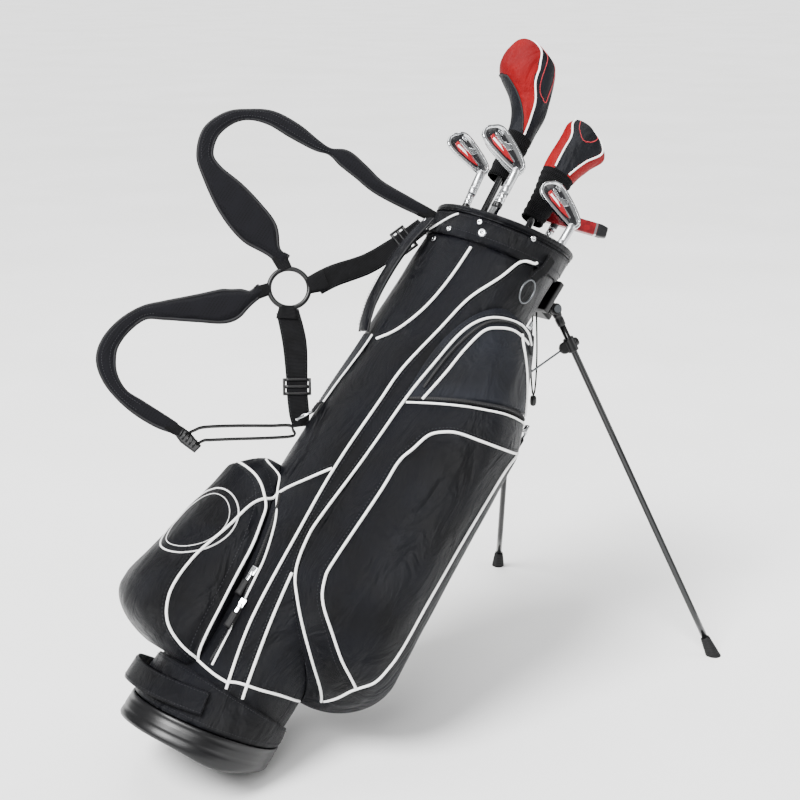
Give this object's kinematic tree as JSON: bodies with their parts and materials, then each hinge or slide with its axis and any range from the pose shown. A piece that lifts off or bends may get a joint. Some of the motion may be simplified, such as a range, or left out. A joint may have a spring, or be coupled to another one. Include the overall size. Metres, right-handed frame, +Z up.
{
  "type": "golf club set in a stand bag",
  "caption": "Leaning golf stand bag on two fold-out legs, with pockets, padded double shoulder harness and clubs: irons, putter and woods under padded headcovers.",
  "frame": {"origin": "centre of the bounding box on the ground, measured without the drawstring and its cord lock", "axes": "+Z up; the bag leans towards +X, where its two legs stand; +Y towards the slim pocket side, away from the large pockets"},
  "size_m": [0.9262, 0.5602, 0.9452],
  "materials": {
    "nylon": "coated nylon, matt",
    "grey_nylon": "coated nylon, matt",
    "webbing": "woven polypropylene",
    "air_mesh": "padded spacer mesh",
    "plastic": "moulded, satin",
    "leg_paint": "satin powder coat",
    "rubber": "moulded",
    "chrome": "polished",
    "steel_wire": "drawn",
    "graphite": "lacquered",
    "cover_fabric": "padded knit",
    "painted_head": "gloss paint",
    "glass_fibre": "pultruded"
  },
  "bodies": {
    "bag": {"bag_tube": "nylon", "collar_band": "plastic", "rim_roll": "nylon", "club_divider": "nylon", "base_cuff": "nylon", "grab_loop": "webbing", "tube_spine": "glass_fibre", "apparel_pocket": "nylon", "valuables_pocket": "grey_nylon", "ball_pocket": "nylon", "far_pocket": "nylon", "carry_handle": "nylon", "harness_ring": "plastic", "webbing_to_collar": "webbing", "webbing_to_hip": "webbing", "shoulder_pad_upper": "air_mesh", "shoulder_pad_lower": "air_mesh", "ladder_lock": "plastic", "tail_webbing": "webbing", "d_ring_tab": "webbing", "towel_strap": "webbing", "stand_bracket": "plastic", "hinge_pin_near": "steel_wire", "hinge_pin_far": "steel_wire", "drawstring": "webbing", "cord_lock": "plastic"},
    "boot": {"base_boot": "plastic"},
    "near_leg": {"leg_near": "leg_paint", "foot_near": "rubber", "stay_clamp_near": "plastic"},
    "far_leg": {"leg_far": "leg_paint", "foot_far": "rubber", "stay_clamp_far": "plastic"},
    "actuator": {"actuator_rod": "steel_wire"},
    "near_stay": {"stay_near": "steel_wire"},
    "far_stay": {"stay_far": "steel_wire"},
    "collar_adjuster": {"tri_glide_collar": "plastic"},
    "hip_adjuster": {"tri_glide_hip": "plastic"},
    "d_ring_body": {"d_ring": "chrome"},
    "towel_ring_body": {"towel_ring": "steel_wire"},
    "ball_zip_upper": {"ball_slider_upper": "chrome"},
    "ball_zip_lower": {"ball_slider_lower": "chrome"},
    "valuables_zip": {"valuables_slider": "chrome"},
    "apparel_zip": {"apparel_slider": "chrome"},
    "driver": {"driver_shaft": "graphite", "driver_head": "graphite", "driver_cover": "cover_fabric"},
    "hybrid": {"hybrid_shaft": "graphite", "hybrid_head": "graphite", "hybrid_cover": "cover_fabric"},
    "putter": {"putter_shaft": "chrome", "putter_head": "painted_head"},
    "long_iron": {"long_iron_shaft": "chrome", "long_iron_head": "chrome"},
    "middle_iron": {"middle_iron_shaft": "chrome", "middle_iron_head": "chrome"},
    "short_iron": {"short_iron_shaft": "chrome", "short_iron_head": "chrome"},
    "wedge": {"wedge_shaft": "chrome", "wedge_head": "chrome"}
  },
  "joints": [
    {"name": "leg_fold_near", "type": "hinge", "parent": "bag", "child": "near_leg", "pos_m": [0.27717, -0.06552, 0.55671], "axis": [0.2718, 0.9284, -0.2534], "range_deg": [0, 62.18]},
    {"name": "leg_fold_far", "type": "hinge", "parent": "bag", "child": "far_leg", "pos_m": [0.27717, 0.01448, 0.55671], "axis": [-0.2718, 0.9284, 0.2534], "range_deg": [0, 62.19]},
    {"name": "actuator_slide", "type": "slide", "parent": "bag", "child": "actuator", "axis": [-0.682, 0, -0.7314], "range_m": [0, 0.03518]},
    {"name": "stay_turn_near", "type": "hinge", "parent": "near_leg", "child": "near_stay", "pos_m": [0.28306, -0.08316, 0.49842], "axis": [-0.3271, -0.9355, 0.1337], "range_deg": [0, 79.5]},
    {"name": "stay_turn_far", "type": "hinge", "parent": "far_leg", "child": "far_stay", "pos_m": [0.28306, 0.03212, 0.49842], "axis": [0.3271, -0.9355, -0.1337], "range_deg": [0, 79.5]},
    {"name": "boot_pivot", "type": "hinge", "parent": "bag", "child": "boot", "pos_m": [-0.43835, -0.02552, 0.13692], "axis": [0, 1, 0], "range_deg": [0, 9.31]},
    {"name": "collar_adjuster_slide", "type": "slide", "parent": "bag", "child": "collar_adjuster", "axis": [-0.8289, 0.2315, -0.5092], "range_m": [0, 0.016]},
    {"name": "hip_adjuster_slide", "type": "slide", "parent": "bag", "child": "hip_adjuster", "axis": [0.2764, 0.3621, 0.8902], "range_m": [0, 0.016]},
    {"name": "d_ring_swing", "type": "hinge", "parent": "bag", "child": "d_ring_body", "pos_m": [-0.12216, 0.02673, 0.45326], "axis": [0.3657, 0.866, -0.341], "range_deg": [0, 100]},
    {"name": "towel_ring_swing", "type": "hinge", "parent": "bag", "child": "towel_ring_body", "pos_m": [0.16294, -0.12892, 0.62631], "axis": [-0.7314, 0, 0.682], "range_deg": [0, 90]},
    {"name": "ball_zip_upper_slide", "type": "slide", "parent": "bag", "child": "ball_zip_upper", "axis": [0.682, 0, 0.7314], "range_m": [0, 0.1]},
    {"name": "ball_zip_lower_slide", "type": "slide", "parent": "bag", "child": "ball_zip_lower", "axis": [0.682, 0, 0.7314], "range_m": [0, 0.1]},
    {"name": "valuables_zip_slide", "type": "slide", "parent": "bag", "child": "valuables_zip", "axis": [-0.5349, -0.682, 0.4988], "range_m": [0, 0.03]},
    {"name": "apparel_zip_slide", "type": "slide", "parent": "bag", "child": "apparel_zip", "axis": [-0.5211, -0.8518, -0.0542], "range_m": [0, 0.03]},
    {"name": "driver_lift", "type": "slide", "parent": "bag", "child": "driver", "axis": [0.6305, 0.0533, 0.7743], "range_m": [0, 0.9]},
    {"name": "hybrid_lift", "type": "slide", "parent": "bag", "child": "hybrid", "axis": [0.6616, 0.0436, 0.7486], "range_m": [0, 0.9]},
    {"name": "long_iron_lift", "type": "slide", "parent": "bag", "child": "long_iron", "axis": [0.6095, 0.0792, 0.7888], "range_m": [0, 0.9]},
    {"name": "middle_iron_lift", "type": "slide", "parent": "bag", "child": "middle_iron", "axis": [0.6402, 0.0488, 0.7666], "range_m": [0, 0.9]},
    {"name": "short_iron_lift", "type": "slide", "parent": "bag", "child": "short_iron", "axis": [0.6823, 0.0078, 0.731], "range_m": [0, 0.9]},
    {"name": "wedge_lift", "type": "slide", "parent": "bag", "child": "wedge", "axis": [0.6865, -0.0023, 0.7271], "range_m": [0, 0.5]},
    {"name": "putter_lift", "type": "slide", "parent": "bag", "child": "putter", "axis": [0.6873, 0.0082, 0.7263], "range_m": [0, 0.9]}
  ],
  "couplings": [
    {"joint": "leg_fold_far", "follows": "leg_fold_near", "ratio": 1},
    {"joint": "actuator_slide", "follows": "leg_fold_near", "m_per_rad": 0.032408},
    {"joint": "stay_turn_near", "follows": "leg_fold_near", "ratio": 1.2777},
    {"joint": "stay_turn_far", "follows": "leg_fold_near", "ratio": 1.2777},
    {"joint": "boot_pivot", "follows": "leg_fold_near", "ratio": 0.14956}
  ]
}
